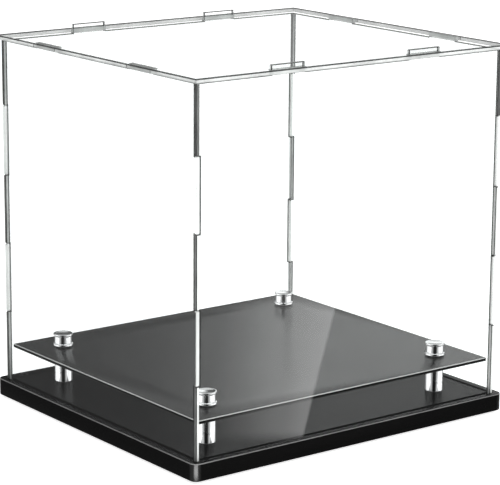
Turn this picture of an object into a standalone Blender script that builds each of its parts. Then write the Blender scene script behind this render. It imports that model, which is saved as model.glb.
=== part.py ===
"""Clear display case for a helmet or a ball.

A thick black base carries a thin black shelf on four screwed standoffs. A clear
cover, five sheets joined by fingers and tabs, stands in a groove round the base
and lifts off. Metres, +Z up. The origin is the middle of the footprint, at the
height of the surface that the feet stand on. The front wall faces -Y.
"""
import math

import bmesh
import bpy

# Gap kept between two pieces that touch.
GAP = 0.0003

# Cover: outer width and depth over the walls, and height above the base.
COVER_WIDTH = 0.396
COVER_DEPTH = 0.356
COVER_HEIGHT = 0.380
WALL_THICKNESS = 0.004
TOP_THICKNESS = 0.005
TOP_OVERHANG = 0.004
FINGER_COUNT = 5

# Tabs on the walls' top edges. The front and back ones stand proud of the top.
TAB_WIDTH = 0.042
FRONT_TAB_INSET = 0.089
SIDE_TAB_INSET = 0.071
TAB_PROUD = 0.0048

# Base board, its margin outside the cover, and the groove that holds the walls.
BASE_MARGIN = 0.008
BASE_HEIGHT = 0.0187
BASE_CORNER_RADIUS = 0.008
BASE_RIM_CHAMFER = 0.001
GROOVE_DEPTH = 0.005
GROOVE_CLEARANCE = 0.0006

# Feet.
FOOT_HEIGHT = 0.0025
FOOT_RADIUS = 0.009
FOOT_TAPER = 0.0012
FOOT_INSET = 0.032

# Shelf and its standoffs. The inset is from the cover's outer faces.
SHELF_THICKNESS = 0.004
SHELF_CLEARANCE = 0.0015
SHELF_CHAMFER = 0.0005
SEAT_CLEARANCE = 0.004
STANDOFF_INSET = 0.045
STANDOFF_RADIUS = 0.0095
STANDOFF_LENGTH = 0.033
STANDOFF_CHAMFER = 0.0005
WASHER_RADIUS = 0.0078
WASHER_THICKNESS = 0.001

# Screwed cap: a spool with a flange at the foot and a rim at the top.
CAP_HEIGHT = 0.0130
CAP_FLANGE_RADIUS = 0.01075
CAP_FLANGE_THICKNESS = 0.0022
CAP_WAIST_RADIUS = 0.0090
CAP_RIM_RADIUS = 0.0105
CAP_RIM_THICKNESS = 0.0016
CAP_DISH_RADIUS = 0.0092
CAP_DISH_DEPTH = 0.0006
CAP_EDGE_CHAMFER = 0.0004
CAP_ROOF = 0.0034
CAP_BORE_SPARE = 0.001

# Threaded parts: M6 studs and screws, drawn without their threads.
THREAD_RADIUS = 0.003
STUD_IN_STANDOFF = 0.012
SCREW_IN_STANDOFF = 0.012
SCREW_HEAD_RADIUS = 0.0055
SCREW_HEAD_HEIGHT = 0.0033
SCREW_SOCKET_RADIUS = 0.0023
SCREW_SOCKET_DEPTH = 0.0018
THREAD_CHAMFER = 0.0005
COUNTERBORE_DEPTH = 0.005
COUNTERBORE_CLEARANCE = 0.001

# Facets round a turned piece, and how far a cutter runs past a face.
ROUND_SEGMENTS = 24
CORNER_SEGMENTS = 6
FLARE_SEGMENTS = 3
SOCKET_SIDES = 6
CUT_PAST = 0.002

# Points nearer than this are merged, edges sharper than this stay sharp, and a face
# is level when the Z part of its normal is more than this. A bevel's section is round.
MERGE_DISTANCE = 1e-7
SHARP_ANGLE = math.radians(30)
LEVEL_NORMAL = 0.5
ROUND_PROFILE = 0.5

# Heights worked out from the sizes above.
BORE_RADIUS = THREAD_RADIUS + GAP
BASE_BOTTOM = FOOT_HEIGHT + GAP
BASE_TOP = BASE_BOTTOM + BASE_HEIGHT
WALL_BOTTOM = BASE_TOP - GROOVE_DEPTH + GAP
TOP_UPPER = BASE_TOP + COVER_HEIGHT
TOP_LOWER = TOP_UPPER - TOP_THICKNESS
WALL_TOP = TOP_LOWER - GAP
STANDOFF_BOTTOM = BASE_TOP + GAP
STANDOFF_TOP = STANDOFF_BOTTOM + STANDOFF_LENGTH
LOWER_WASHER_BOTTOM = STANDOFF_TOP + GAP
SHELF_BOTTOM = LOWER_WASHER_BOTTOM + WASHER_THICKNESS + GAP
SHELF_TOP = SHELF_BOTTOM + SHELF_THICKNESS
UPPER_WASHER_BOTTOM = SHELF_TOP + GAP
CAP_BOTTOM = UPPER_WASHER_BOTTOM + WASHER_THICKNESS + GAP
CAP_BORE_DEPTH = CAP_HEIGHT - CAP_DISH_DEPTH - CAP_ROOF
SCREW_SEAT = BASE_BOTTOM + COUNTERBORE_DEPTH
SCREW_HEAD_BOTTOM = SCREW_SEAT - GAP - SCREW_HEAD_HEIGHT

# Colour, roughness, metallic and opacity of each finish.
FINISHES = {
    "gloss_black": ((0.012, 0.012, 0.013), 0.12, 0.0, 1.0),
    "shelf_black": ((0.020, 0.020, 0.021), 0.08, 0.0, 1.0),
    "chrome": ((0.80, 0.80, 0.81), 0.06, 1.0, 1.0),
    "steel": ((0.52, 0.52, 0.53), 0.30, 1.0, 1.0),
    "rubber": ((0.03, 0.03, 0.03), 0.85, 0.0, 1.0),
    "soft_washer": ((0.82, 0.84, 0.84), 0.45, 0.0, 0.6),
    "clear_acrylic": ((0.92, 0.96, 0.95), 0.03, 0.0, 0.2),
}


def clear_scene():
    for obj in list(bpy.data.objects):
        bpy.data.objects.remove(obj, do_unlink=True)


def finish(node, name):
    """Give a node its own material."""
    colour, roughness, metallic, opacity = FINISHES[name]
    material = bpy.data.materials.new(f"{node.name}_{name}")
    material.use_nodes = True
    shader = material.node_tree.nodes["Principled BSDF"]
    shader.inputs["Base Color"].default_value = (*colour, 1.0)
    shader.inputs["Roughness"].default_value = roughness
    shader.inputs["Metallic"].default_value = metallic
    shader.inputs["Alpha"].default_value = opacity
    node.data.materials.append(material)


def axis_empty(name, place=(0.0, 0.0, 0.0)):
    """An empty that carries the pieces which move together along its Z axis."""
    empty = bpy.data.objects.new(name, None)
    empty.location = place
    bpy.context.scene.collection.objects.link(empty)
    return empty


def object_from(name, bm, place=(0.0, 0.0, 0.0)):
    """Turn a bmesh into an object that stands at a place."""
    bmesh.ops.remove_doubles(bm, verts=bm.verts, dist=MERGE_DISTANCE)
    bmesh.ops.recalc_face_normals(bm, faces=bm.faces)
    mesh = bpy.data.meshes.new(name)
    bm.to_mesh(mesh)
    bm.free()
    node = bpy.data.objects.new(name, mesh)
    node.location = place
    bpy.context.scene.collection.objects.link(node)
    return node


def box(name, size, place, chamfer=0.0):
    """A box, centred on its place, with every edge chamfered."""
    bm = bmesh.new()
    bmesh.ops.create_cube(bm, size=1.0)
    bmesh.ops.scale(bm, vec=size, verts=bm.verts)
    if chamfer:
        bmesh.ops.bevel(bm, geom=bm.edges[:], offset=chamfer, segments=1, affect="EDGES")
    return object_from(name, bm, place)


def sheet(name, outline, thickness, normal, place):
    """A flat outline of (along, up) points, made solid about its middle plane.

    An X sheet lies in Y and Z, a Y sheet in X and Z.
    """
    half = thickness / 2
    if normal == "X":
        points = [(-half, along, up) for along, up in outline]
        travel = (thickness, 0.0, 0.0)
    else:
        points = [(along, -half, up) for along, up in outline]
        travel = (0.0, thickness, 0.0)
    bm = bmesh.new()
    face = bm.faces.new([bm.verts.new(point) for point in points])
    moved = bmesh.ops.extrude_face_region(bm, geom=[face])["geom"]
    verts = [item for item in moved if isinstance(item, bmesh.types.BMVert)]
    bmesh.ops.translate(bm, vec=travel, verts=verts)
    return object_from(name, bm, place)


def turned(name, profile, place, segments=ROUND_SEGMENTS):
    """A piece turned about Z from (radius, height) points, closed on the axis or as a ring."""
    bm = bmesh.new()
    ring = [bm.verts.new((radius, 0.0, height)) for radius, height in profile]
    edges = [bm.edges.new(pair) for pair in zip(ring, ring[1:])]
    if profile[0][0] > 0.0:
        edges.append(bm.edges.new((ring[-1], ring[0])))
    bmesh.ops.spin(
        bm,
        geom=ring + edges,
        cent=(0.0, 0.0, 0.0),
        axis=(0.0, 0.0, 1.0),
        angle=math.tau,
        steps=segments,
        use_merge=True,
    )
    node = object_from(name, bm, place)
    node.data.shade_smooth()
    node.data.set_sharp_from_angle(angle=SHARP_ANGLE)
    return node


def rod(name, radius, bottom, top, place, chamfer=0.0, segments=ROUND_SEGMENTS):
    """A plain round bar between two heights."""
    profile = [
        (0.0, bottom),
        (radius - chamfer, bottom),
        (radius, bottom + chamfer),
        (radius, top - chamfer),
        (radius - chamfer, top),
        (0.0, top),
    ]
    return turned(name, profile, place, segments)


def tube(name, outer, inner, length, place, chamfer=0.0):
    """A round bar with a hole through it, standing on its place."""
    profile = [
        (inner, 0.0),
        (outer - chamfer, 0.0),
        (outer, chamfer),
        (outer, length - chamfer),
        (outer - chamfer, length),
        (inner, length),
    ]
    return turned(name, profile, place)


def ring_cutter(name, outer, inner, bottom, top):
    """A square ring between two heights, given its outer and inner half sizes in X and Y."""
    bm = bmesh.new()
    signs = ((-1, -1), (1, -1), (1, 1), (-1, 1))
    loops = []
    for half_x, half_y in (outer, inner):
        for height in (bottom, top):
            loops.append([bm.verts.new((sx * half_x, sy * half_y, height)) for sx, sy in signs])
    outer_low, outer_high, inner_low, inner_high = loops
    sides = ((outer_low, outer_high), (inner_high, inner_low))
    ends = ((outer_high, inner_high), (inner_low, outer_low))
    for first, second in sides + ends:
        for i in range(len(signs)):
            j = (i + 1) % len(signs)
            bm.faces.new((first[i], first[j], second[j], second[i]))
    return object_from(name, bm)


def cut(node, cutter):
    """Subtract a cutter, which stays in the file as a hidden guide."""
    cutter.hide_render = True
    cutter.display_type = "WIRE"
    modifier = node.modifiers.new(f"cut_{cutter.name}", "BOOLEAN")
    modifier.operation = "DIFFERENCE"
    modifier.solver = "EXACT"
    modifier.object = cutter


def corners(half_x, half_y):
    """The four corner places, front left first and round to the back left."""
    return ((-half_x, -half_y), (half_x, -half_y), (half_x, half_y), (-half_x, half_y))


def wall_outline(width, owns_lowest, tab_inset, tab_top):
    """Outline of one wall: fingers up both ends and two tabs on the top edge."""
    levels = [BASE_TOP + i * (TOP_UPPER - BASE_TOP) / FINGER_COUNT for i in range(1, FINGER_COUNT)]
    long_half = width / 2
    short_half = width / 2 - WALL_THICKNESS - GAP
    owns = [(i % 2 == 0) == owns_lowest for i in range(FINGER_COUNT)]
    halves = [long_half if own else short_half for own in owns]
    right_end = [(halves[0], WALL_BOTTOM)]
    for i, level in enumerate(levels):
        step = level - GAP / 2 if owns[i] else level + GAP / 2
        right_end += [(halves[i], step), (halves[i + 1], step)]
    right_end.append((halves[-1], WALL_TOP))
    outer = width / 2 - tab_inset
    inner = outer - TAB_WIDTH
    right_top = [(outer, WALL_TOP), (outer, tab_top), (inner, tab_top), (inner, WALL_TOP)]
    right = right_end + right_top
    return right + [(-along, up) for along, up in reversed(right)]


def build_walls(cover):
    proud = TOP_UPPER + TAB_PROUD
    middle_y = COVER_DEPTH / 2 - WALL_THICKNESS / 2
    middle_x = COVER_WIDTH / 2 - WALL_THICKNESS / 2
    front = wall_outline(COVER_WIDTH, True, FRONT_TAB_INSET, proud)
    side = wall_outline(COVER_DEPTH, False, SIDE_TAB_INSET, TOP_UPPER)
    for name, outline, normal, place in (
        ("front_wall", front, "Y", (0.0, -middle_y, 0.0)),
        ("back_wall", front, "Y", (0.0, middle_y, 0.0)),
        ("left_wall", side, "X", (-middle_x, 0.0, 0.0)),
        ("right_wall", side, "X", (middle_x, 0.0, 0.0)),
    ):
        wall = sheet(name, outline, WALL_THICKNESS, normal, place)
        wall.parent = cover
        finish(wall, "clear_acrylic")


def build_top(cover):
    """The top panel, with a closed slot for each of the walls' eight tabs."""
    size = (COVER_WIDTH + 2 * TOP_OVERHANG, COVER_DEPTH + 2 * TOP_OVERHANG, TOP_THICKNESS)
    middle = TOP_UPPER - TOP_THICKNESS / 2
    top = box("top_panel", size, (0.0, 0.0, middle))
    top.parent = cover
    slot_long = TAB_WIDTH + 2 * GAP
    slot_wide = WALL_THICKNESS + 2 * GAP
    slot_deep = TOP_THICKNESS + 2 * CUT_PAST
    front_x = COVER_WIDTH / 2 - FRONT_TAB_INSET - TAB_WIDTH / 2
    front_y = COVER_DEPTH / 2 - WALL_THICKNESS / 2
    side_x = COVER_WIDTH / 2 - WALL_THICKNESS / 2
    side_y = COVER_DEPTH / 2 - SIDE_TAB_INSET - TAB_WIDTH / 2
    for kind, size, half_x, half_y in (
        ("front", (slot_long, slot_wide, slot_deep), front_x, front_y),
        ("side", (slot_wide, slot_long, slot_deep), side_x, side_y),
    ):
        for i, (x, y) in enumerate(corners(half_x, half_y), 1):
            cut(top, box(f"{kind}_slot_{i}", size, (x, y, middle)))
    finish(top, "clear_acrylic")


def build_base(standoff_places):
    """The base board: rounded corners, chamfered rim, wall groove and screw holes."""
    half_x = COVER_WIDTH / 2 + BASE_MARGIN
    half_y = COVER_DEPTH / 2 + BASE_MARGIN
    bm = bmesh.new()
    bmesh.ops.create_cube(bm, size=1.0)
    bmesh.ops.scale(bm, vec=(2 * half_x, 2 * half_y, BASE_HEIGHT), verts=bm.verts)
    upright = [edge for edge in bm.edges if abs(edge.verts[0].co.z - edge.verts[1].co.z) > GAP]
    bmesh.ops.bevel(
        bm,
        geom=upright,
        offset=BASE_CORNER_RADIUS,
        segments=CORNER_SEGMENTS,
        profile=ROUND_PROFILE,
        affect="EDGES",
    )
    rims = [face for face in bm.faces if abs(face.normal.z) > LEVEL_NORMAL]
    rim_edges = [edge for face in rims for edge in face.edges]
    bmesh.ops.bevel(bm, geom=rim_edges, offset=BASE_RIM_CHAMFER, segments=1, affect="EDGES")
    base = object_from("base_board", bm, (0.0, 0.0, BASE_BOTTOM + BASE_HEIGHT / 2))
    outer = (COVER_WIDTH / 2 + GROOVE_CLEARANCE, COVER_DEPTH / 2 + GROOVE_CLEARANCE)
    inset = WALL_THICKNESS + 2 * GROOVE_CLEARANCE
    inner = (outer[0] - inset, outer[1] - inset)
    low, high = BASE_TOP - GROOVE_DEPTH, BASE_TOP + CUT_PAST
    cut(base, ring_cutter("groove_cutter", outer, inner, low, high))
    bore = SCREW_HEAD_RADIUS + COUNTERBORE_CLEARANCE
    profile = [
        (0.0, BASE_BOTTOM - CUT_PAST),
        (bore, BASE_BOTTOM - CUT_PAST),
        (bore, SCREW_SEAT),
        (BORE_RADIUS, SCREW_SEAT),
        (BORE_RADIUS, BASE_TOP + CUT_PAST),
        (0.0, BASE_TOP + CUT_PAST),
    ]
    for i, (x, y) in enumerate(standoff_places, 1):
        cut(base, turned(f"screw_hole_{i}", profile, (x, y, 0.0)))
    finish(base, "gloss_black")


def build_feet():
    foot_x = COVER_WIDTH / 2 + BASE_MARGIN - FOOT_INSET
    foot_y = COVER_DEPTH / 2 + BASE_MARGIN - FOOT_INSET
    profile = [
        (0.0, 0.0),
        (FOOT_RADIUS - FOOT_TAPER, 0.0),
        (FOOT_RADIUS - FOOT_TAPER / 4, FOOT_HEIGHT / 2),
        (FOOT_RADIUS, FOOT_HEIGHT),
        (0.0, FOOT_HEIGHT),
    ]
    for i, (x, y) in enumerate(corners(foot_x, foot_y), 1):
        finish(turned(f"foot_{i}", profile, (x, y, 0.0)), "rubber")


def divide(node, half_x, half_y):
    """Divide a plate's faces along four lines, so that the middle is a face of its own."""
    bm = bmesh.new()
    bm.from_mesh(node.data)
    for normal, reach in (((1.0, 0.0, 0.0), half_x), ((0.0, 1.0, 0.0), half_y)):
        for side in (-reach, reach):
            place = [side * part for part in normal]
            everything = bm.verts[:] + bm.edges[:] + bm.faces[:]
            bmesh.ops.bisect_plane(bm, geom=everything, plane_co=place, plane_no=normal)
    bm.to_mesh(node.data)
    bm.free()


def build_shelf(standoff_places):
    """The shelf, whose middle, clear of the caps, is the item's seat."""
    half_x = COVER_WIDTH / 2 - WALL_THICKNESS - SHELF_CLEARANCE
    half_y = COVER_DEPTH / 2 - WALL_THICKNESS - SHELF_CLEARANCE
    middle = SHELF_BOTTOM + SHELF_THICKNESS / 2
    shelf = box("shelf", (2 * half_x, 2 * half_y, SHELF_THICKNESS), (0.0, 0.0, middle), SHELF_CHAMFER)
    cap_reach = CAP_FLANGE_RADIUS + SEAT_CLEARANCE
    divide(shelf, standoff_places[2][0] - cap_reach, standoff_places[2][1] - cap_reach)
    low, high = SHELF_BOTTOM - CUT_PAST, SHELF_TOP + CUT_PAST
    for i, (x, y) in enumerate(standoff_places, 1):
        cut(shelf, rod(f"shelf_hole_{i}", BORE_RADIUS, low, high, (x, y, 0.0)))
    finish(shelf, "shelf_black")


def build_screw(number, x, y):
    """A pan-head screw, head down in its counterbore, with a hexagon socket."""
    tip = STANDOFF_BOTTOM + SCREW_IN_STANDOFF
    profile = [
        (0.0, SCREW_HEAD_BOTTOM),
        (SCREW_HEAD_RADIUS - THREAD_CHAMFER, SCREW_HEAD_BOTTOM),
        (SCREW_HEAD_RADIUS, SCREW_HEAD_BOTTOM + THREAD_CHAMFER),
        (SCREW_HEAD_RADIUS, SCREW_SEAT - GAP),
        (THREAD_RADIUS, SCREW_SEAT - GAP),
        (THREAD_RADIUS, tip - THREAD_CHAMFER),
        (THREAD_RADIUS - THREAD_CHAMFER, tip),
        (0.0, tip),
    ]
    screw = turned(f"base_screw_{number}", profile, (x, y, 0.0))
    name = f"screw_socket_{number}"
    low = SCREW_HEAD_BOTTOM - CUT_PAST
    high = SCREW_HEAD_BOTTOM + SCREW_SOCKET_DEPTH
    cut(screw, rod(name, SCREW_SOCKET_RADIUS, low, high, (x, y, 0.0), segments=SOCKET_SIDES))
    finish(screw, "steel")


def build_standoff(number, x, y):
    name = f"standoff_{number}"
    place = (x, y, STANDOFF_BOTTOM)
    standoff = tube(name, STANDOFF_RADIUS, BORE_RADIUS, STANDOFF_LENGTH, place, STANDOFF_CHAMFER)
    finish(standoff, "chrome")


def build_washers(number, x, y):
    """One soft washer under the shelf and one on it."""
    for kind, bottom in (("lower", LOWER_WASHER_BOTTOM), ("upper", UPPER_WASHER_BOTTOM)):
        name = f"{kind}_washer_{number}"
        finish(tube(name, WASHER_RADIUS, BORE_RADIUS, WASHER_THICKNESS, (x, y, bottom)), "soft_washer")


def build_stud(number, x, y):
    """The stud that joins standoff, shelf and cap."""
    bottom = STANDOFF_TOP - STUD_IN_STANDOFF
    top = CAP_BOTTOM + CAP_BORE_DEPTH - CAP_BORE_SPARE
    finish(rod(f"stud_{number}", THREAD_RADIUS, bottom, top, (x, y, 0.0), THREAD_CHAMFER), "steel")


def build_cap(number, x, y):
    """The spool: flange, waist, flared rim and a shallow dish in the top."""
    rim_low = CAP_HEIGHT - CAP_RIM_THICKNESS
    flare = CAP_RIM_RADIUS - CAP_WAIST_RADIUS
    outside = [
        (CAP_FLANGE_RADIUS - CAP_EDGE_CHAMFER, 0.0),
        (CAP_FLANGE_RADIUS, CAP_EDGE_CHAMFER),
        (CAP_FLANGE_RADIUS, CAP_FLANGE_THICKNESS - 2 * CAP_EDGE_CHAMFER),
        (CAP_FLANGE_RADIUS - 2 * CAP_EDGE_CHAMFER, CAP_FLANGE_THICKNESS),
        (CAP_WAIST_RADIUS, CAP_FLANGE_THICKNESS),
        (CAP_WAIST_RADIUS, rim_low - flare),
    ]
    for i in range(1, FLARE_SEGMENTS + 1):
        angle = i / FLARE_SEGMENTS * math.pi / 2
        radius = CAP_RIM_RADIUS - flare * math.cos(angle)
        outside.append((radius, rim_low - flare + flare * math.sin(angle)))
    outside += [
        (CAP_RIM_RADIUS, CAP_HEIGHT - CAP_EDGE_CHAMFER),
        (CAP_RIM_RADIUS - CAP_EDGE_CHAMFER, CAP_HEIGHT),
        (CAP_DISH_RADIUS, CAP_HEIGHT),
        (CAP_DISH_RADIUS - CAP_DISH_DEPTH, CAP_HEIGHT - CAP_DISH_DEPTH),
        (0.0, CAP_HEIGHT - CAP_DISH_DEPTH),
    ]
    bore = [(0.0, CAP_BORE_DEPTH), (BORE_RADIUS, CAP_BORE_DEPTH), (BORE_RADIUS, 0.0)]
    finish(turned(f"cap_{number}", bore + outside, (x, y, CAP_BOTTOM)), "chrome")


def main():
    clear_scene()
    half_x = COVER_WIDTH / 2 - STANDOFF_INSET
    half_y = COVER_DEPTH / 2 - STANDOFF_INSET
    standoff_places = corners(half_x, half_y)
    build_feet()
    build_base(standoff_places)
    for number, (x, y) in enumerate(standoff_places, 1):
        build_screw(number, x, y)
        build_standoff(number, x, y)
        build_washers(number, x, y)
        build_stud(number, x, y)
        build_cap(number, x, y)
    build_shelf(standoff_places)
    cover = axis_empty("cover_axis")
    build_walls(cover)
    build_top(cover)


main()
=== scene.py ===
"""Looks of the clear display case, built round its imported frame.

The sheets, the board, the shelf and the turned fittings are each made fine here and
stand for the plain CAD nodes. Metres, +Z up, in the frame's own coordinates.
"""
import math

import bmesh
import bpy
from mathutils import Matrix, Vector


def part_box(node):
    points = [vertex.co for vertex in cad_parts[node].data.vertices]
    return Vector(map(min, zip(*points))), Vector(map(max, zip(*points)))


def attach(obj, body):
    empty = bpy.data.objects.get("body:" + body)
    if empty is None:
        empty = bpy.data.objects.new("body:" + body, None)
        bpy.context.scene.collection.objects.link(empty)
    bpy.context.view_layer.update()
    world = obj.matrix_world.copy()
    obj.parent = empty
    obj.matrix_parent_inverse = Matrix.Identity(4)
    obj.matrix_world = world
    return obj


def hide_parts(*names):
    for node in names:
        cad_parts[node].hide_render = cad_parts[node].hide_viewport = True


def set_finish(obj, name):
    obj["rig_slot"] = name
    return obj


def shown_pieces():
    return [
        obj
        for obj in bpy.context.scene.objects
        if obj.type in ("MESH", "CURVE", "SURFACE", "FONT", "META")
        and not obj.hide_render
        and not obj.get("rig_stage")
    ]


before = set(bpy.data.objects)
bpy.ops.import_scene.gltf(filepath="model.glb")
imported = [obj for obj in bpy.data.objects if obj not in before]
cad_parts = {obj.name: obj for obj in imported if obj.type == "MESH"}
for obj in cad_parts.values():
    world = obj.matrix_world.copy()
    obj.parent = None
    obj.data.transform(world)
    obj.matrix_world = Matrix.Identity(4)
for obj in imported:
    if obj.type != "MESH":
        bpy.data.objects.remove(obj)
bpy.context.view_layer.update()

# Fineness of round work, and the limits within which an angle or a length is nothing.
ROUND_SIDES = 96
WASHER_SIDES = 64
SCREW_SIDES = 48
THREAD_SIDES = 32
SMOOTH_ANGLE = math.radians(35)
SHARP_ANGLE = math.radians(30.0)
FLAT_ANGLE = math.radians(1.0)
MERGE_DISTANCE = 1e-6
SAME_SHARE = 1e-9

# The part of a face's normal along an axis above which the face is flat, or level, and
# below which it is upright. Then how far past a rounding its last faces are looked for.
FLAT_NORMAL = 0.95
LEVEL_NORMAL = 0.9
UPRIGHT_NORMAL = 0.1
ROUND_REACH = 1.01

# The pieces that come in fours are numbered round the corners.
CORNERS = (1, 2, 3, 4)

# Board: its rounded corners and rim, the slope of the rim's part painted pale as a highlight, the
# groove.
BOARD_CORNER_RADIUS = 0.008
BOARD_CORNER_STEPS = 12
BOARD_RIM_ROUND = 0.001
BOARD_RIM_STEPS = 4
BOARD_HIGHLIGHT_SLOPE = (0.15, 0.97)
GROOVE_OUTSET = 0.0006
GROOVE_DEPTH = 0.005
SHEET_THICKNESS = 0.004

# Holes and threads.
BORE_RADIUS = 0.0033
COUNTERBORE_RADIUS = 0.0065
COUNTERBORE_DEPTH = 0.005
THREAD_RADIUS = 0.003
THREAD_ROOT = 0.00248
THREAD_PITCH = 0.001
THREAD_CREST_SHARE = 0.8
THREAD_SECTION_SIDES = 3
SEAT_GAP = 0.0003
CUT_PAST = 0.002

# Shelf: its rounded edges, and the slope of their part painted pale as a highlight.
SHELF_ROUND = 0.0008
SHELF_ROUND_STEPS = 3
SHELF_HIGHLIGHT_SLOPE = (0.1, 0.99)

# Sheets: edge arrises, the upper band of the top panel painted dark, the marks at the side
# tabs, the width of a corner joint, and where the walls' topmost joint, painted darkest, begins.
WALL_ARRIS = 0.0009
ARRIS_STEPS = 1
TOP_ARRIS = 0.0011
TOP_PAINTED_DARK_BAND = 0.0016
SIDE_TAB_OUTER = 0.107
SIDE_TAB_INNER = 0.065
TAB_END_LINE = 0.001
JOINT_STRIP = 0.0032
TOP_JOINT_SHARE = 0.8

# Cap: shares of its flange radius and of its height, then its steps and small lengths.
CAP_WAIST = 0.865
CAP_RIM = 0.977
CAP_DISH = 0.86
CAP_FLANGE_TOP = 0.15
CAP_WAIST_FOOT = 0.185
CAP_RIM_FOOT = 0.877
CAP_BORE_SHARE = 0.69
CAP_FLARE_STRETCH = 1.4
CAP_FLARE_STEPS = 6
CAP_DISH_STEPS = 8
CAP_DISH_DEPTH = 0.0006
CAP_ROUND = 0.00035

# Other turned pieces.
TURNED_ROUND_STEPS = 3
STANDOFF_ROUND = 0.0005
WASHER_ROUND = 0.00025
TIP_CHAMFER = 0.0003
HEAD_EDGE = 0.0006
SOCKET_RADIUS = 0.0023
SOCKET_DEPTH = 0.0018
SOCKET_SIDES = 6
FOOT_DOME_START = 0.86
FOOT_DOME_TOP = 0.8
FOOT_CENTRE = 0.6
FOOT_DOME_STEPS = 6

# Materials: the sheet's refractive index, the middle range of a noise value, the depth
# of the black plastic's orange peel.
ACRYLIC_IOR = 1.49
NOISE_LOW = 0.3
NOISE_HIGH = 0.7
PEEL = 0.000002

# Gloss blacks: name, grey level, roughness, strength of the sheen. The board's side and corner
# rows are copies of one black: the sides darker and duller as painted shade, the corners glossier
# for a painted highlight.
GLOSS_BLACKS = {
    "board": ("gloss_black_board", 0.004, 0.24, 0.05),
    "board_side": ("gloss_black_shaded_side", 0.002, 0.24, 0.15),
    "board_corner": ("gloss_black_highlight_corner", 0.004, 0.26, 0.5),
    "shelf": ("gloss_black_shelf", 0.008, 0.26, 0.5),
}

# Cut edges of the clear sheets: darkest grey, lightest grey, opacity. The greys are painted light
# and shade in place of refraction: near-white joints, dark arrises and ends.
PAINTED_CUT_EDGES = {
    "edge": (0.40, 0.75, 0.75),
    "arris": (0.02, 0.06, 0.95),
    "pale_arris": (0.20, 0.34, 0.8),
    "tab_edge": (0.32, 0.48, 0.85),
    "joint": (0.82, 0.95, 0.85),
    "end": (0.07, 0.14, 0.85),
    "top_joint": (0.05, 0.09, 0.9),
}

# Camera: what it looks at, from where, and through which lens. Angles in degrees.
CAMERA_TARGET = Vector((-0.0014, -0.0042, 0.1822))
CAMERA_DISTANCE = 2.436
CAMERA_TURN = 37.26
CAMERA_DROP = 13.20
CAMERA_ROLL = 0.41
CAMERA_LENS = 163.1
CAMERA_SENSOR = 36.0
CAMERA_CLIP = (0.05, 60.0)

# How many clear faces a ray may cross, one behind another.
CLEAR_BOUNCES = 32

# Floor, and the brightness of the room to the eye and to matt surfaces.
FLOOR_SIZE = 24.0
FLOOR_GLOW = 0.8
WHITE_LEVEL = 1.5
AMBIENT_LEVEL = 0.8

# Key softbox. Here and below, bearings and rises are in degrees, and a bearing turns
# from +Y towards +X.
STUDIO_CENTRE = Vector((0.0, 0.0, 0.05))
KEY_BEARING = 141.0
KEY_RISE = 35.0
KEY_DISTANCE = 2.8
KEY_SIZE = (1.2, 1.2)
KEY_LEVEL = 6.0

# Strips that light the chrome alone: degrees off the near bearing, half angle, brightness.
NEAR_BEARING = 217.3
CHROME_STRIPS = ((28.0, 8.0, 0.10), (44.0, 8.0, 0.40), (88.0, 36.0, 1.25))
STRIP_RISE = -16.0
STRIP_DISTANCE = 3.0
STRIP_HEIGHT = 1.6

# A small softbox close to the board's near corner, which lights the board alone.
CORNER_LIGHT_DISTANCE = 0.35
CORNER_LIGHT_SIZE = (0.34, 0.14)
CORNER_LIGHT_LEVEL = 11.0

# The studio in mirror images: where each field starts and ends and, with a third value,
# the half width of its soft borders. A drop is a rise turned downwards.
HIGH_RISES = (35.0, 70.0)
HIGH_LEVEL = 1.9
FLAG_BEARINGS = (5.0, 75.0, 6.0)
FLAG_RISES = (-8.0, 23.0, 2.0)
FLAG_SPLIT = (35.0, 38.2)
FLAG_DARK = 0.085
FLAG_LIGHT = 1.7
LOW_DROPS = (-14.0, -6.0)
LOW_LEVEL = 0.4
LEFT_BEARINGS = (305.0, 340.0, 3.0)
LEFT_DIM = 0.12
FRONT_BEARINGS = (122.0, 160.0, 3.0)
FRONT_DIM = 0.12
ROOM_BEARINGS = (192.0, 242.0, 6.0)
ROOM_LEVEL = 0.0

# A low strip light among them: hard along one side, fading to the other, and leaning by
# some degrees of bearing for each degree of rise above its foot.
LEANING_LEVEL = 2.1
LEANING_SLOPE = 0.24
LEANING_FOOT = -16.0
LEANING_EDGE = (140.75, 140.85)
LEANING_FADE = (140.8, 143.7)
LEANING_FADE_POWER = 1.5
LEANING_RISES = (-18.1, -9.0, 0.2)


# ---------------------------------------------------------------- bench tools


def deselect_all():
    bpy.ops.object.select_all(action="DESELECT")


def take(piece):
    """Make a piece the only selected one, and the active one."""
    deselect_all()
    piece.select_set(True)
    bpy.context.view_layer.objects.active = piece


def open_mesh(piece, kind="FACE"):
    take(piece)
    bpy.ops.object.mode_set(mode="EDIT")
    bpy.ops.mesh.select_mode(type=kind)


def close_mesh():
    bpy.ops.object.mode_set(mode="OBJECT")


def pick(piece, kind, test):
    """In edit mode, select the faces or edges that pass a test, and no others."""
    bpy.ops.mesh.select_mode(type=kind)
    bpy.ops.mesh.select_all(action="DESELECT")
    mesh = bmesh.from_edit_mesh(piece.data)
    mesh.normal_update()
    elements = mesh.faces if kind == "FACE" else mesh.edges
    for element in elements:
        if test(element):
            element.select_set(True)
    mesh.select_flush_mode()
    bmesh.update_edit_mesh(piece.data)


def settle(piece, name):
    """Name a piece and put its place into its mesh."""
    take(piece)
    bpy.ops.object.transform_apply(location=True, rotation=True, scale=True)
    piece.name = name
    piece.data.name = name
    return piece


def face_outwards(piece):
    open_mesh(piece)
    bpy.ops.mesh.select_all(action="SELECT")
    bpy.ops.mesh.remove_doubles(threshold=MERGE_DISTANCE)
    bpy.ops.mesh.normals_make_consistent(inside=False)
    close_mesh()


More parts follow.
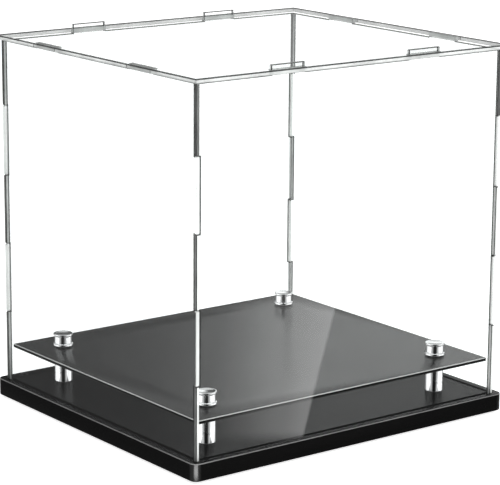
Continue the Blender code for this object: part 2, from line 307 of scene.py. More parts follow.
def round_edges(piece, width, steps):
    """Round every sharp edge."""
    take(piece)
    bpy.ops.object.modifier_add(type="BEVEL")
    bevel = piece.modifiers[-1]
    bevel.width = width
    bevel.segments = steps
    bevel.limit_method = "ANGLE"
    bevel.angle_limit = SHARP_ANGLE
    bevel.use_clamp_overlap = True
    bpy.ops.object.modifier_apply(modifier=bevel.name)


def smooth(piece):
    take(piece)
    bpy.ops.object.shade_smooth_by_angle(angle=SMOOTH_ANGLE)


def cut_away(piece, cutters):
    """Subtract cutters from a piece, all in one cut, and throw them away."""
    cutter = cutters[0]
    take(cutter)
    for other in cutters[1:]:
        other.select_set(True)
    if len(cutters) > 1:
        bpy.ops.object.join()
    take(piece)
    bpy.ops.object.modifier_add(type="BOOLEAN")
    boolean = piece.modifiers[-1]
    boolean.operation = "DIFFERENCE"
    boolean.solver = "EXACT"
    boolean.object = cutter
    bpy.ops.object.modifier_apply(modifier=boolean.name)
    bpy.data.objects.remove(cutter, do_unlink=True)


def block(name, low, high):
    """A plain block between two corners, for a cutter or for further work."""
    deselect_all()
    bpy.ops.mesh.primitive_cube_add(size=1.0, location=(low + high) / 2, scale=high - low)
    return settle(bpy.context.object, name)


def turned(name, x, y, profile, sides=ROUND_SIDES):
    """Turn a piece up from a disc: each (radius, height) grows the last ring one step."""
    deselect_all()
    radius, height = profile[0]
    bpy.ops.mesh.primitive_circle_add(
        vertices=sides, radius=radius, fill_type="NGON", location=(x, y, height)
    )
    piece = bpy.context.object
    open_mesh(piece)
    bpy.ops.mesh.select_all(action="SELECT")
    for next_radius, next_height in profile[1:]:
        rise = (0.0, 0.0, next_height - height)
        bpy.ops.mesh.extrude_region_move(TRANSFORM_OT_translate={"value": rise})
        share = next_radius / radius
        if abs(share - 1.0) > SAME_SHARE:
            centre = (x, y, next_height)
            bpy.ops.transform.resize(value=(share, share, 1.0), center_override=centre)
        radius, height = next_radius, next_height
    close_mesh()
    settle(piece, name)
    face_outwards(piece)
    return piece


def open_bore(piece):
    """Join the two end discs of a turned piece into a hole right through it."""
    open_mesh(piece)
    pick(piece, "FACE", lambda face: len(face.verts) > 4)
    bpy.ops.mesh.bridge_edge_loops()
    close_mesh()
    face_outwards(piece)


def copy_of(piece, name, shift):
    """A copy of a finished piece, with its own mesh, moved by a shift."""
    twin = piece.copy()
    twin.data = piece.data.copy()
    bpy.context.scene.collection.objects.link(twin)
    twin.location = shift
    return settle(twin, name)


# ---------------------------------------------------------------- material tools


class Recipe:
    """A material's node tree, with short ways to add to it."""

    def __init__(self, name):
        self.material = bpy.data.materials.new(name)
        self.material.use_nodes = True
        self.tree = self.material.node_tree
        self.tree.nodes.clear()
        self.output = self.tree.nodes.new("ShaderNodeOutputMaterial")
        self.place = self.tree.nodes.new("ShaderNodeTexCoord").outputs["Object"]

    def node(self, kind, settings=None, **inputs):
        made = self.tree.nodes.new(kind)
        for key, value in (settings or {}).items():
            setattr(made, key, value)
        for key, value in inputs.items():
            self.feed(made.inputs[key.replace("_", " ")], value)
        return made

    def feed(self, socket, value):
        if isinstance(value, bpy.types.NodeSocket):
            self.tree.links.new(value, socket)
        else:
            socket.default_value = value

    def noise(self, scale, detail=3.0, roughness=0.5, stretch=None):
        """Noise in object coordinates, from 0 to 1, stretched if asked."""
        vector = self.place
        if stretch:
            vector = self.node("ShaderNodeMapping", Vector=vector, Scale=stretch).outputs[0]
        made = self.node(
            "ShaderNodeTexNoise", Vector=vector, Scale=scale, Detail=detail, Roughness=roughness
        )
        return made.outputs["Fac"]

    def spread(self, value, low, high, start=NOISE_LOW, end=NOISE_HIGH):
        """Map a noise value from its middle range to another range."""
        made = self.node("ShaderNodeMapRange")
        self.feed(made.inputs["Value"], value)
        made.inputs["From Min"].default_value = start
        made.inputs["From Max"].default_value = end
        made.inputs["To Min"].default_value = low
        made.inputs["To Max"].default_value = high
        return made.outputs["Result"]

    def ramp(self, value, stops):
        """A colour ramp with (place, colour) stops."""
        made = self.node("ShaderNodeValToRGB", Fac=value)
        band = made.color_ramp
        while len(band.elements) < len(stops):
            band.elements.new(0.5)
        for element, (place, colour) in zip(band.elements, stops):
            element.position = place
            element.color = (*colour, 1.0)
        return made.outputs["Color"]

    def two_tone(self, value, first, second):
        """From one colour to another over the middle range of a noise value."""
        return self.ramp(value, ((NOISE_LOW, first), (NOISE_HIGH, second)))

    def maths(self, operation, first, second=0.0):
        made = self.node("ShaderNodeMath", {"operation": operation})
        self.feed(made.inputs[0], first)
        self.feed(made.inputs[1], second)
        return made.outputs[0]

    def bump(self, height, distance):
        made = self.node("ShaderNodeBump", Height=height, Distance=distance)
        return made.outputs["Normal"]

    def finish(self, shader):
        self.tree.links.new(shader, self.output.inputs["Surface"])
        return self.material


def grey(value, green=0.0):
    return (value, value * (1.0 + green), value * (1.0 + green / 2))


def gloss_black(name, level, roughness, sheen):
    """Gloss black plastic: a faint orange peel, fine dust and uneven polish."""
    r = Recipe(name)
    cloud = r.noise(14.0, 4.0)
    speck = r.noise(1600.0, 2.0)
    dust = r.ramp(speck, ((0.0, grey(level)), (0.72, grey(level * 1.1)), (0.9, grey(level * 2.0))))
    polish = r.spread(cloud, roughness * 0.96, roughness * 1.05)
    skin = r.bump(r.noise(150.0, 2.0), PEEL)
    shader = r.node(
        "ShaderNodeBsdfPrincipled",
        Base_Color=dust,
        Roughness=polish,
        Normal=skin,
        IOR=ACRYLIC_IOR,
    )
    shader.inputs["Specular IOR Level"].default_value = sheen
    return r.finish(shader.outputs[0])


def painted_highlight_edge(name, dark, light, roughness):
    """The rounded edge of black plastic: painted lighter as a highlight, with fine streaks along
    it.
    """
    r = Recipe(name)
    streak = r.noise(900.0, 3.0, stretch=(0.05, 0.05, 1.0))
    colour = r.two_tone(streak, grey(dark), grey(light))
    shader = r.node(
        "ShaderNodeBsdfPrincipled",
        Base_Color=colour,
        Roughness=r.spread(streak, roughness * 0.7, roughness * 1.3),
        IOR=ACRYLIC_IOR,
    )
    return r.finish(shader.outputs[0])


def chrome(name):
    """Polished chrome plate: bright, with faint haze and very fine turning marks."""
    r = Recipe(name)
    haze = r.noise(60.0, 4.0)
    marks = r.noise(2600.0, 2.0, stretch=(0.08, 0.08, 1.0))
    colour = r.two_tone(haze, (0.80, 0.805, 0.815), (0.90, 0.905, 0.91))
    shader = r.node(
        "ShaderNodeBsdfPrincipled",
        Base_Color=colour,
        Metallic=1.0,
        Roughness=r.spread(marks, 0.06, 0.12),
        Normal=r.bump(marks, 0.000002),
    )
    return r.finish(shader.outputs[0])


def turned_steel(name):
    """Zinc-bright steel for studs and screws."""
    r = Recipe(name)
    mottle = r.noise(300.0, 4.0)
    colour = r.two_tone(mottle, (0.40, 0.40, 0.41), (0.56, 0.56, 0.55))
    shader = r.node(
        "ShaderNodeBsdfPrincipled",
        Base_Color=colour,
        Metallic=1.0,
        Roughness=r.spread(mottle, 0.22, 0.38),
        Normal=r.bump(r.noise(2200.0, 2.0), 0.000008),
    )
    return r.finish(shader.outputs[0])


def rubber(name):
    """Moulded black rubber, matt and finely grained."""
    r = Recipe(name)
    grain = r.noise(1800.0, 3.0)
    colour = r.two_tone(grain, grey(0.018), grey(0.040))
    shader = r.node(
        "ShaderNodeBsdfPrincipled",
        Base_Color=colour,
        Roughness=r.spread(grain, 0.7, 0.9),
        Normal=r.bump(grain, 0.00003),
    )
    return r.finish(shader.outputs[0])


def soft_clear(name):
    """Soft clear washer: milky, slightly uneven."""
    r = Recipe(name)
    cloud = r.noise(500.0, 3.0)
    colour = r.two_tone(cloud, grey(0.62, 0.02), grey(0.78, 0.02))
    shader = r.node(
        "ShaderNodeBsdfPrincipled",
        Base_Color=colour,
        Roughness=r.spread(cloud, 0.3, 0.5),
        Alpha=0.65,
        Normal=r.bump(cloud, 0.00002),
    )
    return r.finish(shader.outputs[0])


def clear_face(name, gain):
    """The clear face of a sheet: see-through, with a mirror share that gain sets."""
    r = Recipe(name)
    smudge = r.noise(9.0, 5.0, 0.6)
    clear = r.node("ShaderNodeBsdfTransparent", Color=(0.985, 0.992, 0.990, 1.0))
    gloss = r.node(
        "ShaderNodeBsdfPrincipled",
        Base_Color=r.two_tone(smudge, grey(0.90), grey(0.98)),
        Metallic=1.0,
        Roughness=r.spread(smudge, 0.0, 0.01),
        Normal=r.bump(r.noise(5.0, 1.0), 0.00005),
    )
    mirror = r.maths("MULTIPLY", r.node("ShaderNodeFresnel", IOR=ACRYLIC_IOR).outputs[0], gain)
    front = r.maths("SUBTRACT", 1.0, r.node("ShaderNodeNewGeometry").outputs["Backfacing"])
    share = r.maths("MULTIPLY", mirror, front)
    mix = r.tree.nodes.new("ShaderNodeMixShader")
    r.feed(mix.inputs[0], share)
    r.feed(mix.inputs[1], clear.outputs[0])
    r.feed(mix.inputs[2], gloss.outputs[0])
    return r.finish(mix.outputs[0])


def painted_cut_edge(name, dark, light, opacity):
    """The cut edge of a clear sheet: grey-green, streaked, half see-through, its grey level
    painted in place of the light and shade that refraction gives.
    """
    r = Recipe(name)
    streak = r.noise(30.0, 4.0, 0.6)
    colour = r.two_tone(streak, grey(dark, 0.03), grey(light, 0.03))
    shader = r.node(
        "ShaderNodeBsdfPrincipled",
        Base_Color=colour,
        Roughness=r.spread(r.noise(400.0, 3.0), 0.08, 0.2),
        Alpha=opacity,
        IOR=ACRYLIC_IOR,
    )
    return r.finish(shader.outputs[0])


# ---------------------------------------------------------------- the pieces


def paint(piece, body, slot, node, finishes, keys, choose):
    """Hand a finished piece to the frame, where it stands for a CAD node.

    Its faces get the finishes named by keys, and choose says which key a face takes.
    """
    piece.data.materials.clear()
    for key in keys:
        piece.data.materials.append(finishes[key])
    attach(piece, body)
    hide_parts(node)
    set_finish(piece, slot)
    for face in piece.data.polygons:
        face.material_index = keys.index(choose(face))


def middle(node):
    low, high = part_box(node)
    return (low + high) / 2


def thin_axis(node):
    """The axis across a sheet: 0 for X, 1 for Y, 2 for Z."""
    low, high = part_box(node)
    size = high - low
    return min(range(3), key=lambda axis: size[axis])


def turned_box(node):
    """A turned piece's centre, its radius, and the heights of its foot and head."""
    low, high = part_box(node)
    return middle(node), (high.x - low.x) / 2, low.z, high.z


def corner_cutters(profile):
    """One turned cutter on the axis of each standoff."""
    cutters = []
    for number in CORNERS:
        centre = middle(f"standoff_{number}")
        cutters.append(turned("hole_cutter", centre.x, centre.y, profile, THREAD_SIDES))
    return cutters


def groove_cutter(board_top):
    """A square ring, as deep as the groove, that leaves room round the cover's walls."""
    reach_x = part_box("front_wall")[1].x + GROOVE_OUTSET
    reach_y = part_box("back_wall")[1].y + GROOVE_OUTSET
    low = Vector((-reach_x, -reach_y, board_top - GROOVE_DEPTH))
    high = Vector((reach_x, reach_y, board_top + CUT_PAST))
    ring = block("groove_cutter", low, high)
    open_mesh(ring)
    pick(ring, "FACE", lambda face: abs(face.normal.z) > LEVEL_NORMAL)
    bpy.ops.mesh.inset(thickness=SHEET_THICKNESS + 2 * GROOVE_OUTSET, depth=0.0)
    bpy.ops.mesh.bridge_edge_loops()
    close_mesh()
    face_outwards(ring)
    return ring


def is_upright(edge):
    return abs(edge.verts[0].co.z - edge.verts[1].co.z) > BOARD_RIM_ROUND


def bounds_level_face(edge):
    return any(abs(face.normal.z) > LEVEL_NORMAL for face in edge.link_faces)


def make_board(finishes):
    """The thick board: rounded corners, groove for the cover, counterbored screw holes."""
    low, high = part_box("base_board")
    board = block("base_board_fine", low, high)
    open_mesh(board)
    pick(board, "EDGE", is_upright)
    bpy.ops.mesh.bevel(offset=BOARD_CORNER_RADIUS, segments=BOARD_CORNER_STEPS, affect="EDGES")
    pick(board, "EDGE", bounds_level_face)
    bpy.ops.mesh.bevel(offset=BOARD_RIM_ROUND, segments=BOARD_RIM_STEPS, affect="EDGES")
    close_mesh()
    seat = low.z + COUNTERBORE_DEPTH
    profile = (
        (COUNTERBORE_RADIUS, low.z - CUT_PAST),
        (COUNTERBORE_RADIUS, seat),
        (BORE_RADIUS, seat),
        (BORE_RADIUS, high.z + CUT_PAST),
    )
    cut_away(board, [groove_cutter(high.z)] + corner_cutters(profile))
    smooth(board)
    rim_foot = high.z - BOARD_RIM_ROUND * ROUND_REACH
    flat_half = high - Vector((BOARD_CORNER_RADIUS, BOARD_CORNER_RADIUS, 0.0))
    slope_start, slope_end = BOARD_HIGHLIGHT_SLOPE

    def choose(face):
        beyond_x = abs(face.center.x) > flat_half.x
        beyond_y = abs(face.center.y) > flat_half.y
        # The rim's sloping faces take a lighter grey, a painted highlight.
        if slope_start < face.normal.z < slope_end and face.center.z > rim_foot:
            return "board_rim"
        # Upright sides take a darker, duller copy of the black as painted shade; the rounded
        # corners a glossier copy that carries a painted highlight.
        if abs(face.normal.z) > UPRIGHT_NORMAL or not (beyond_x or beyond_y):
            return "board"
        return "board_corner" if beyond_x and beyond_y else "board_side"

    keys = ("board", "board_rim", "board_side", "board_corner")
    paint(board, "base", "base_black", "base_board", finishes, keys, choose)
    board.visible_glossy = False


def make_shelf(finishes):
    """The shelf: a thin gloss plate with rounded edges, their upper part painted pale as a
    highlight, and four holes.
    """
    low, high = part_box("shelf")
    shelf = block("shelf_fine", low, high)
    open_mesh(shelf)
    pick(shelf, "EDGE", lambda edge: True)
    bpy.ops.mesh.bevel(offset=SHELF_ROUND, segments=SHELF_ROUND_STEPS, affect="EDGES")
    close_mesh()
    profile = ((BORE_RADIUS, low.z - CUT_PAST), (BORE_RADIUS, high.z + CUT_PAST))
    cut_away(shelf, corner_cutters(profile))
    smooth(shelf)
    rim_foot = high.z - SHELF_ROUND * ROUND_REACH
    slope_start, slope_end = SHELF_HIGHLIGHT_SLOPE

    def choose(face):
        # The upper rounding takes a lighter grey, a painted highlight.
        if slope_start < face.normal.z < slope_end and face.center.z > rim_foot:
            return "shelf_rim"
        # The upright sides take the board's darker copy, painted shade.
        if abs(face.normal.z) < UPRIGHT_NORMAL and face.center.z < rim_foot:
            return "board_side"
        return "shelf"

    keys = ("shelf", "shelf_rim", "board_side")
    paint(shelf, "base", "shelf_black", "shelf", finishes, keys, choose)
    shelf.visible_glossy = False


def side_tab_marks():
    """Where a side wall's tab ends, and where the painted dark lines at its ends stop, along Y."""
    return (
        SIDE_TAB_INNER,
        SIDE_TAB_INNER + TAB_END_LINE,
        SIDE_TAB_OUTER - TAB_END_LINE,
        SIDE_TAB_OUTER,
    )


def top_joint_foot():
    """The height at which the walls' topmost joint, painted darkest as shade, begins."""
    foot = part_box("base_board")[1].z
    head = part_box("top_panel")[1].z
    return foot + (head - foot) * TOP_JOINT_SHARE


def sheet_marks(node):
    """The (axis, place) planes that part a sheet's faces where their painted light and shade
    changes.
    """
    low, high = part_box(node)
    if node == "top_panel":
        marks = [(2, high.z - TOP_PAINTED_DARK_BAND)]
        for side in (-1.0, 1.0):
            for reach in side_tab_marks():
                marks.append((1, side * reach))
        return marks
    along = 1 - thin_axis(node)
    return [
        (along, low[along] + JOINT_STRIP),
        (along, high[along] - JOINT_STRIP),
        (2, top_joint_foot()),
    ]


def shape_sheet(node, arris):
    """One clear sheet: the CAD outline with arrised edges, parted where the painted light and
    shade of its edges changes.
    """
    sheet = bpy.data.objects.new(f"{node}_sheet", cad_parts[node].data.copy())
    bpy.context.scene.collection.objects.link(sheet)
    open_mesh(sheet)
    bpy.ops.mesh.select_all(action="SELECT")
    bpy.ops.mesh.remove_doubles(threshold=MERGE_DISTANCE)
    bpy.ops.mesh.dissolve_limited(angle_limit=FLAT_ANGLE)
    close_mesh()
    round_edges(sheet, arris, ARRIS_STEPS)
    open_mesh(sheet)
    for axis, reach in sheet_marks(node):
        point = Vector((0.0, 0.0, 0.0))
        normal = Vector((0.0, 0.0, 0.0))
        point[axis] = reach
        normal[axis] = 1.0
        bpy.ops.mesh.select_all(action="SELECT")
        bpy.ops.mesh.bisect(plane_co=point, plane_no=normal, use_fill=False)
    close_mesh()
    return sheet


def is_square(face):
    """Whether a face looks straight along an axis, unlike an arris."""
    return max(abs(part) for part in face.normal) > FLAT_NORMAL


def paint_wall(sheet, node, finishes):
    """Hand over a wall, with the painted light and shade of its edges and joints chosen by side
    and height.
    """
    across = thin_axis(node)
    is_side_wall = across == 0
    joint_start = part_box(node)[1][1 - across] - JOINT_STRIP
    top_level = top_joint_foot()
    panel_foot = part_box("top_panel")[0].z

    def choose(face):
        flat = abs(face.normal[across]) > FLAT_NORMAL
        at_joint = abs(face.center[1 - across]) > joint_start
        if at_joint and face.center.z > top_level:
            return "top_joint"
        if is_side_wall and face.center.z > panel_foot:
            return "pale_arris"
        # A side wall shows its edges at a corner joint, a front or back wall its faces; both take
        # the near-white joint grey, painted light.
        if at_joint and flat != is_side_wall:
            return "joint"
        if flat:
            return "face"
        if not is_square(face):
            return "arris"
        return "end" if at_joint else "edge"

    keys = ("face", "edge", "arris", "joint", "end", "top_joint", "pale_arris")
    paint(sheet, "cover", "clear_acrylic", node, finishes, keys, choose)


def make_walls(finishes):
    """Two shapes of wall: the back is a copy of the front, the right of the left."""
    for first, second in (("front_wall", "back_wall"), ("left_wall", "right_wall")):
        sheet = shape_sheet(first, WALL_ARRIS)
        twin = copy_of(sheet, f"{second}_sheet", middle(second) - middle(first))
        paint_wall(sheet, first, finishes)
        paint_wall(twin, second, finishes)


def make_top(finishes):
    """The top panel, its outer edge painted dark along the top and pale along the bottom, as shade
    and light in place of refraction.
    """
    sheet = shape_sheet("top_panel", TOP_ARRIS)
    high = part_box("top_panel")[1]
    outer_half = high - Vector((TOP_ARRIS, TOP_ARRIS, 0.0)) * ROUND_REACH
    band_foot = high.z - TOP_PAINTED_DARK_BAND
    tab_start, tab_inner, tab_outer, tab_end = side_tab_marks()

    def choose(face):
        outer = abs(face.center.x) > outer_half.x or abs(face.center.y) > outer_half.y
        reach = abs(face.center.y)
        if abs(face.normal.z) > FLAT_NORMAL:
            return "top_face"
        if outer and face.center.z > band_foot:
            return "arris"
        if outer and abs(face.normal.x) > FLAT_NORMAL and tab_start < reach < tab_end:
            return "tab_edge" if tab_inner < reach < tab_outer else "arris"
        return "edge" if is_square(face) else "pale_arris"

    keys = ("top_face", "edge", "arris", "pale_arris", "tab_edge")
    paint(sheet, "cover", "clear_acrylic", "top_panel", finishes, keys, choose)


def quarter(steps):
    """Angles from 0 to a right angle, in equal steps."""
    return [step / steps * math.pi / 2 for step in range(steps + 1)]


def shape_cap(node):
    """The spool-shaped cap, with a blind bore and a shallow dish in its top."""
    centre, flange, foot, head = turned_box(node)
    height = head - foot
    waist = flange * CAP_WAIST
    rim = flange * CAP_RIM
    dish = flange * CAP_DISH
    profile = [
        (BORE_RADIUS, foot + height * CAP_BORE_SHARE),
        (BORE_RADIUS, foot),
        (flange, foot),
        (flange, foot + height * CAP_FLANGE_TOP),
        (waist, foot + height * CAP_WAIST_FOOT),
    ]
    flare = rim - waist
    reach = flare * CAP_FLARE_STRETCH
    flare_foot = foot + height * CAP_RIM_FOOT - reach
    for angle in quarter(CAP_FLARE_STEPS):
        profile.append((rim - flare * math.cos(angle), flare_foot + reach * math.sin(angle)))
    profile += [(rim, head), (dish, head)]
    for step in range(1, CAP_DISH_STEPS):
        share = 1.0 - step / CAP_DISH_STEPS
        profile.append((dish * share, head - CAP_DISH_DEPTH * (1.0 - share * share)))
    cap = turned(f"{node}_fine", centre.x, centre.y, profile)
    round_edges(cap, CAP_ROUND, TURNED_ROUND_STEPS)
    smooth(cap)
    return cap


def shape_ring(node, sides, rounding):
    """A turned ring with a hole through it, its edges rounded: a standoff or a washer."""
    centre, radius, foot, head = turned_box(node)
    profile = [(BORE_RADIUS, foot), (radius, foot), (radius, head), (BORE_RADIUS, head)]
    ring = turned(f"{node}_fine", centre.x, centre.y, profile, sides)
    open_bore(ring)
    round_edges(ring, rounding, TURNED_ROUND_STEPS)
    smooth(ring)
    return ring


def shape_standoff(node):
    """The polished tube that carries the shelf."""
    return shape_ring(node, ROUND_SIDES, STANDOFF_ROUND)


def shape_washer(node):
    """A soft clear washer with rounded edges."""
    return shape_ring(node, WASHER_SIDES, WASHER_ROUND)


def add_thread(rod, x, y, bottom, top):
    """Wind a triangular thread round a rod, between two heights."""
    turns = int((top - bottom) / THREAD_PITCH)
    crest = (THREAD_RADIUS - THREAD_ROOT) * THREAD_CREST_SHARE
    deselect_all()
    bpy.ops.mesh.primitive_circle_add(
        vertices=THREAD_SECTION_SIDES,
        radius=crest,
        rotation=(math.pi / 2, math.pi / 2, 0.0),
        location=(THREAD_RADIUS - crest, 0.0, bottom + THREAD_PITCH / 2),
    )
    thread = settle(bpy.context.object, "thread")
    bpy.ops.object.modifier_add(type="SCREW")
    screw = thread.modifiers[-1]
    screw.axis = "Z"
    screw.angle = math.tau
    screw.screw_offset = THREAD_PITCH
    screw.iterations = turns - 1
    screw.steps = THREAD_SIDES
    screw.render_steps = THREAD_SIDES
    bpy.ops.object.modifier_apply(modifier=screw.name)
    open_mesh(thread, "EDGE")
    bpy.ops.mesh.select_all(action="DESELECT")
    bpy.ops.mesh.select_non_manifold()
    bpy.ops.mesh.fill_holes(sides=THREAD_SECTION_SIDES)
    close_mesh()
    face_outwards(thread)
    thread.location = (x, y, 0.0)
    settle(thread, "thread")
    take(rod)
    thread.select_set(True)
    bpy.ops.object.join()


def shape_stud(node):
    """The threaded stud through standoff, shelf and cap."""
    centre, _, foot, head = turned_box(node)
    profile = [
        (THREAD_ROOT - TIP_CHAMFER, foot),
        (THREAD_ROOT, foot + TIP_CHAMFER),
        (THREAD_ROOT, head - TIP_CHAMFER),
        (THREAD_ROOT - TIP_CHAMFER, head),
    ]
    stud = turned(f"{node}_fine", centre.x, centre.y, profile, THREAD_SIDES)
    smooth(stud)
    add_thread(stud, centre.x, centre.y, foot, head)
    return stud


def shape_screw(node):
    """The pan-head screw under the board, with a hexagon socket."""
    centre, head_radius, foot, tip = turned_box(node)
    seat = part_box("base_board")[0].z + COUNTERBORE_DEPTH - SEAT_GAP
    profile = [
        (head_radius - HEAD_EDGE, foot),
        (head_radius, foot + HEAD_EDGE),
        (head_radius, seat),
        (THREAD_ROOT, seat),
        (THREAD_ROOT, tip - TIP_CHAMFER),
        (THREAD_ROOT - TIP_CHAMFER, tip),
    ]
    screw = turned(f"{node}_fine", centre.x, centre.y, profile, SCREW_SIDES)
    socket = ((SOCKET_RADIUS, foot - CUT_PAST), (SOCKET_RADIUS, foot + SOCKET_DEPTH))
    cut_away(screw, [turned("socket_cutter", centre.x, centre.y, socket, SOCKET_SIDES)])
    smooth(screw)
    add_thread(screw, centre.x, centre.y, seat + THREAD_PITCH, tip)
    return screw


def shape_foot(node):
    """A low rubber bumper, domed at its rim."""
    centre, radius, foot, head = turned_box(node)
    dome = (head - foot) * FOOT_DOME_TOP
    profile = [(radius * FOOT_CENTRE, foot)]
    for angle in quarter(FOOT_DOME_STEPS):
        reach = FOOT_DOME_START + (1.0 - FOOT_DOME_START) * math.sin(angle)
        profile.append((radius * reach, foot + dome * (1.0 - math.cos(angle))))
    profile.append((radius, head))
    bumper = turned(f"{node}_fine", centre.x, centre.y, profile, WASHER_SIDES)
    smooth(bumper)
    return bumper


def make_four(kind, shape, body, slot, finishes, key):
    """Shape the first of four equal pieces, copy it to the other corners, hand all over."""
    nodes = [f"{kind}_{number}" for number in CORNERS]
    first = shape(nodes[0])
    pieces = [first]
    for node in nodes[1:]:
        pieces.append(copy_of(first, f"{node}_fine", middle(node) - middle(nodes[0])))
    for number, node, piece in zip(CORNERS, nodes, pieces):
        paint(piece, body.format(number), slot, node, finishes, (key,), lambda face: key)


# ---------------------------------------------------------------- the studio


def direction(bearing, rise):
    """The unit vector that points along a bearing and up by a rise, in degrees."""
    bearing, rise = math.radians(bearing), math.radians(rise)
    level = math.cos(rise)
    return Vector((math.sin(bearing) * level, math.cos(bearing) * level, math.sin(rise)))


def make_floor():
    deselect_all()
    bpy.ops.mesh.primitive_plane_add(size=FLOOR_SIZE, location=(0.0, 0.0, 0.0))
    floor = settle(bpy.context.object, "studio_floor")
    r = Recipe("pale_floor")
    mottle = r.noise(3.0, 3.0)
    colour = r.two_tone(mottle, grey(0.88), grey(0.90))
    shader = r.node(
        "ShaderNodeBsdfPrincipled",
        Base_Color=colour,
        Roughness=0.9,
        Emission_Color=(1.0, 1.0, 1.0, 1.0),
        Emission_Strength=FLOOR_GLOW,
    )
    floor.data.materials.append(r.finish(shader.outputs[0]))
    floor.visible_glossy = False
    floor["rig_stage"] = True


class Sky(Recipe):
    """The world: plain white to look at, with softboxes and dark flags in its mirror image."""

    def __init__(self):
        self.world = bpy.data.worlds.new("studio")
        bpy.context.scene.world = self.world
        self.world.use_nodes = True
        self.tree = self.world.node_tree
        self.tree.nodes.clear()
        self.output = self.tree.nodes.new("ShaderNodeOutputWorld")
        self.place = self.tree.nodes.new("ShaderNodeTexCoord").outputs["Generated"]
        x, y, z = self.node("ShaderNodeSeparateXYZ", Vector=self.place).outputs
        self.rise = self.in_degrees(self.maths("ARCSINE", z))
        bearing = self.in_degrees(self.maths("ARCTAN2", x, y))
        self.bearing = self.maths("FLOORED_MODULO", bearing, 360.0)

    def in_degrees(self, angle):
        return self.times(angle, math.degrees(1.0))

    def times(self, first, second):
        return self.maths("MULTIPLY", first, second)

    def step(self, value, start, end):
        """0 below start, 1 above end, smooth between them."""
        made = self.node("ShaderNodeMapRange", {"interpolation_type": "SMOOTHSTEP"})
        self.feed(made.inputs["Value"], value)
        made.inputs["From Min"].default_value = start
        made.inputs["From Max"].default_value = end
        return made.outputs["Result"]

    def window(self, value, start, end, soft):
        """1 between start and end, with soft borders."""
        up = self.step(value, start - soft, start + soft)
        down = self.step(value, end - soft, end + soft)
        return self.maths("SUBTRACT", up, down)

    def blend(self, base, share, level):
        """Base where share is 0, level where it is 1."""
        made = self.node("ShaderNodeMix", {"data_type": "FLOAT"})
        self.feed(made.inputs["Factor"], share)
        self.feed(made.inputs["A"], base)
        self.feed(made.inputs["B"], level)
        return made.outputs["Result"]


def leaning_strip(s):
    """A low strip of light, hard on one side, whose mirror image crosses the front sheet."""
    lean = s.times(s.maths("SUBTRACT", s.rise, LEANING_FOOT), LEANING_SLOPE)
    leaning = s.maths("ADD", s.bearing, lean)
    edge = s.step(leaning, *LEANING_EDGE)
    fade = s.maths("POWER", s.spread(leaning, 1.0, 0.0, *LEANING_FADE), LEANING_FADE_POWER)
    return s.times(s.times(edge, fade), s.window(s.rise, *LEANING_RISES))


def make_sky():
    """White to look at; in mirror images a studio, laid out by bearing and rise in degrees."""
    s = Sky()
    level = s.blend(1.0, s.step(s.rise, *HIGH_RISES), HIGH_LEVEL)
    # A dark flag behind the case, its right part lighter.
    side = s.blend(FLAG_DARK, s.step(s.bearing, *FLAG_SPLIT), FLAG_LIGHT)
    flag = s.times(s.window(s.rise, *FLAG_RISES), s.window(s.bearing, *FLAG_BEARINGS))
    level = s.blend(level, flag, side)
    # Dim low down, more so to the left of the case and in front of it.
    low = s.step(s.times(s.rise, -1.0), *LOW_DROPS)
    level = s.blend(level, low, LOW_LEVEL)
    level = s.blend(level, s.times(low, s.window(s.bearing, *LEFT_BEARINGS)), LEFT_DIM)
    level = s.blend(level, s.times(low, s.window(s.bearing, *FRONT_BEARINGS)), FRONT_DIM)
    # The dark room behind the camera.
    level = s.blend(level, s.window(s.bearing, *ROOM_BEARINGS), ROOM_LEVEL)
    level = s.maths("ADD", level, s.times(leaning_strip(s), LEANING_LEVEL))
    path = s.tree.nodes.new("ShaderNodeLightPath")
    seen = s.blend(WHITE_LEVEL, path.outputs["Is Diffuse Ray"], AMBIENT_LEVEL)
    strength = s.blend(seen, path.outputs["Is Glossy Ray"], level)
    sky = s.node("ShaderNodeBackground", Strength=strength)
    s.tree.links.new(sky.outputs[0], s.output.inputs["Surface"])


def make_softbox(name, bearing, rise, distance, size, brightness, lit=(), aim=STUDIO_CENTRE):
    """A soft light that looks at its aim. With lit, it lights those pieces and no others."""
    data = bpy.data.lights.new(name, "AREA")
    data.shape = "RECTANGLE"
    data.size, data.size_y = size
    data.energy = brightness * math.pi * size[0] * size[1]
    lamp = bpy.data.objects.new(name, data)
    outward = direction(bearing, rise)
    lamp.location = aim + outward * distance
    lamp.rotation_euler = (-outward).to_track_quat("-Z", "Y").to_euler()
    bpy.context.scene.collection.objects.link(lamp)
    if lit:
        group = bpy.data.collections.new(f"{name}_lit")
        for piece in lit:
            group.objects.link(piece)
        lamp.light_linking.receiver_collection = group
        lamp.light_linking.blocker_collection = group
    else:
        lamp.visible_glossy = False


def make_lights():
    """The key softbox, the strips that light the chrome, and the board's corner light."""
    plated = [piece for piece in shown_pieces() if piece.get("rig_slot") == "chrome"]
    make_softbox("key_softbox", KEY_BEARING, KEY_RISE, KEY_DISTANCE, KEY_SIZE, KEY_LEVEL)
    for side in (-1.0, 1.0):
        for offset, half_angle, brightness in CHROME_STRIPS:
            bearing = NEAR_BEARING + side * offset
            width = 2 * STRIP_DISTANCE * math.tan(math.radians(half_angle))
            size = (width, STRIP_HEIGHT)
            make_softbox("strip", bearing, STRIP_RISE, STRIP_DISTANCE, size, brightness, plated)
    low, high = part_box("base_board")
    make_softbox(
        "corner_light",
        NEAR_BEARING,
        STRIP_RISE,
        CORNER_LIGHT_DISTANCE,
        CORNER_LIGHT_SIZE,
        CORNER_LIGHT_LEVEL,
        lit=[bpy.data.objects["base_board_fine"]],
        aim=Vector((low.x, low.y, (low.z + high.z) / 2)),
    )


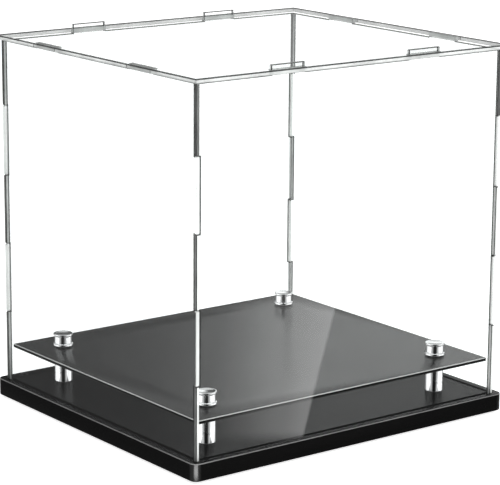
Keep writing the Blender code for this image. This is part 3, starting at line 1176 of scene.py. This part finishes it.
def make_camera():
    data = bpy.data.cameras.new("camera")
    data.lens = CAMERA_LENS
    data.sensor_width = CAMERA_SENSOR
    data.clip_start, data.clip_end = CAMERA_CLIP
    camera = bpy.data.objects.new("camera", data)
    bpy.context.scene.collection.objects.link(camera)
    ahead = direction(CAMERA_TURN, -CAMERA_DROP)
    camera.location = CAMERA_TARGET - ahead * CAMERA_DISTANCE
    turn = ahead.to_track_quat("-Z", "Y").to_matrix().to_4x4()
    turn = turn @ Matrix.Rotation(math.radians(CAMERA_ROLL), 4, "Z")
    camera.rotation_euler = turn.to_euler()
    bpy.context.scene.camera = camera


def make_finishes():
    """Every finish of the case, under the key that the pieces ask for it by."""
    finishes = {
        # The rim finishes are lighter greys, painted highlights on the rounded edges.
        "board_rim": painted_highlight_edge("black_board_rim_painted_highlight", 0.10, 0.16, 0.3),
        "shelf_rim": painted_highlight_edge("black_shelf_rim_painted_highlight", 0.50, 0.68, 0.25),
        "chrome": chrome("chrome_plate"),
        "steel": turned_steel("zinc_steel"),
        "rubber": rubber("black_rubber"),
        "washer": soft_clear("soft_clear_washer"),
        "face": clear_face("clear_sheet_face", 1.9),
        "top_face": clear_face("clear_top_face", 0.4),
    }
    for key, look in GLOSS_BLACKS.items():
        finishes[key] = gloss_black(*look)
    for key, look in PAINTED_CUT_EDGES.items():
        finishes[key] = painted_cut_edge(f"clear_sheet_{key}", *look)
    return finishes


def main():
    finishes = make_finishes()
    make_board(finishes)
    make_shelf(finishes)
    make_walls(finishes)
    make_top(finishes)
    make_four("cap", shape_cap, "screw_cap_{}", "chrome", finishes, "chrome")
    make_four("standoff", shape_standoff, "base", "chrome", finishes, "chrome")
    make_four("lower_washer", shape_washer, "base", "soft_washer", finishes, "washer")
    make_four("upper_washer", shape_washer, "washer_{}", "soft_washer", finishes, "washer")
    make_four("stud", shape_stud, "base", "steel", finishes, "steel")
    make_four("base_screw", shape_screw, "base", "steel", finishes, "steel")
    make_four("foot", shape_foot, "base", "rubber", finishes, "rubber")
    make_camera()
    make_floor()
    make_sky()
    make_lights()
    bpy.context.scene.view_settings.view_transform = "Standard"
    bpy.context.scene.cycles.transparent_max_bounces = CLEAR_BOUNCES


main()
